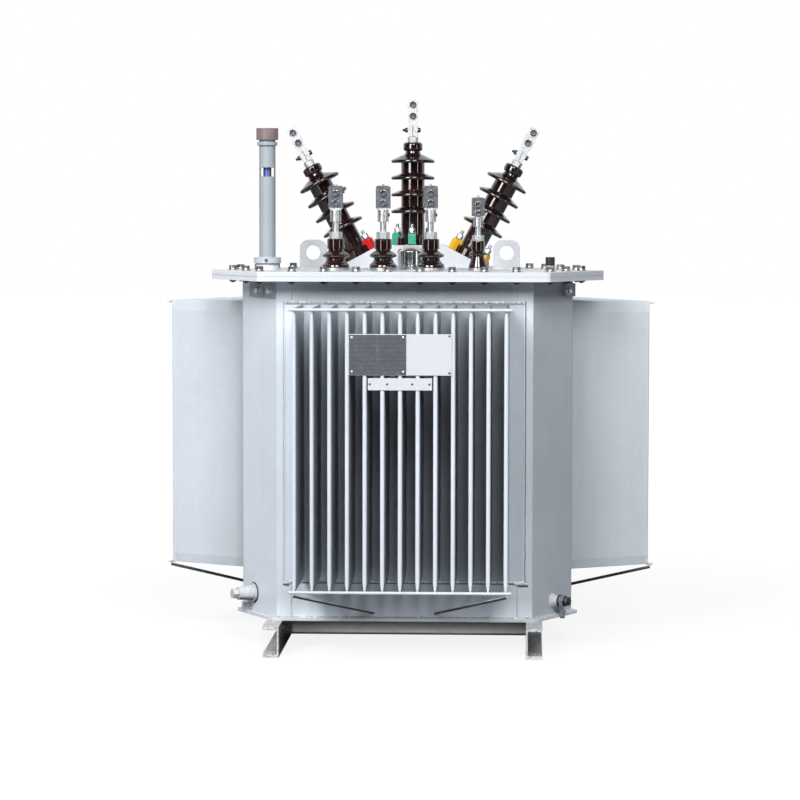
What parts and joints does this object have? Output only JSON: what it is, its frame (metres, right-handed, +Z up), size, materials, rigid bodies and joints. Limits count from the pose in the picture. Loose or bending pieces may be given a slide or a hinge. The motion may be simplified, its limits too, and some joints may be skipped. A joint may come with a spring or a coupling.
{
  "type": "power transformer",
  "caption": "Oil-filled power transformer with a triangular finned tank, bolted cover, brown porcelain bushings, oil gauge, lifting lugs and channel skids.",
  "frame": {"origin": "on the ground under the middle of the object's bounding box", "axes": "+Z up, -Y towards the front finned wall with the plates, +X to the right seen from the front"},
  "size_m": [1.343, 1.1632, 1.474],
  "materials": {
    "tank_paint": "satin pale grey paint",
    "skid_paint": "worn pale grey paint",
    "cover_paint": "satin off-white paint",
    "gasket_rubber": "matt black rubber",
    "porcelain": "glazed dark brown porcelain",
    "red_paint": "gloss red paint",
    "green_paint": "gloss green paint",
    "yellow_paint": "gloss yellow paint",
    "zinc": "zinc plated, dull",
    "cast_alloy": "machined",
    "cap_brown": "dull brown",
    "sight_glass": "tinted sight glass",
    "black_plastic": "matt black",
    "white_plate": "gloss white enamel",
    "dark_plate": "dark anodised, blank"
  },
  "bodies": {
    "root": {"base_plate": "tank_paint", "front_wall": "tank_paint", "left_wall": "tank_paint", "right_wall": "tank_paint", "left_corner_wall": "tank_paint", "right_corner_wall": "tank_paint", "back_corner_wall": "tank_paint", "top_flange": "tank_paint", "front_fins": "tank_paint", "left_fins": "tank_paint", "right_fins": "tank_paint", "front_stay_rods": "tank_paint", "left_stay_rods": "tank_paint", "right_stay_rods": "tank_paint", "oil_gauge_tube": "tank_paint", "drain_valve": "tank_paint", "earth_pads": "tank_paint", "left_skid": "skid_paint", "right_skid": "skid_paint", "cross_channel": "skid_paint", "cover_plate": "cover_paint", "bushing_seat": "cover_paint", "left_lifting_lug": "cover_paint", "right_lifting_lug": "cover_paint", "cover_gasket": "gasket_rubber", "hv_bushing_left": "porcelain", "hv_bushing_middle": "porcelain", "hv_bushing_right": "porcelain", "lv_bushing_left": "porcelain", "lv_bushing_middle": "porcelain", "lv_bushing_right": "porcelain", "lv_bushing_neutral": "porcelain", "hv_clamp_left": "red_paint", "hv_clamp_middle": "green_paint", "hv_clamp_right": "yellow_paint", "hv_terminals": "zinc", "lv_terminals": "zinc", "lv_base_rings": "zinc", "sampling_valve": "zinc", "thermometer_pocket": "zinc", "relief_valve": "cast_alloy", "oil_gauge_cap": "cap_brown", "oil_gauge_glass": "sight_glass", "thermometer_cap": "black_plastic", "plate_backing": "white_plate", "blank_strip": "white_plate", "rating_plate": "dark_plate"}
  },
  "joints": []
}
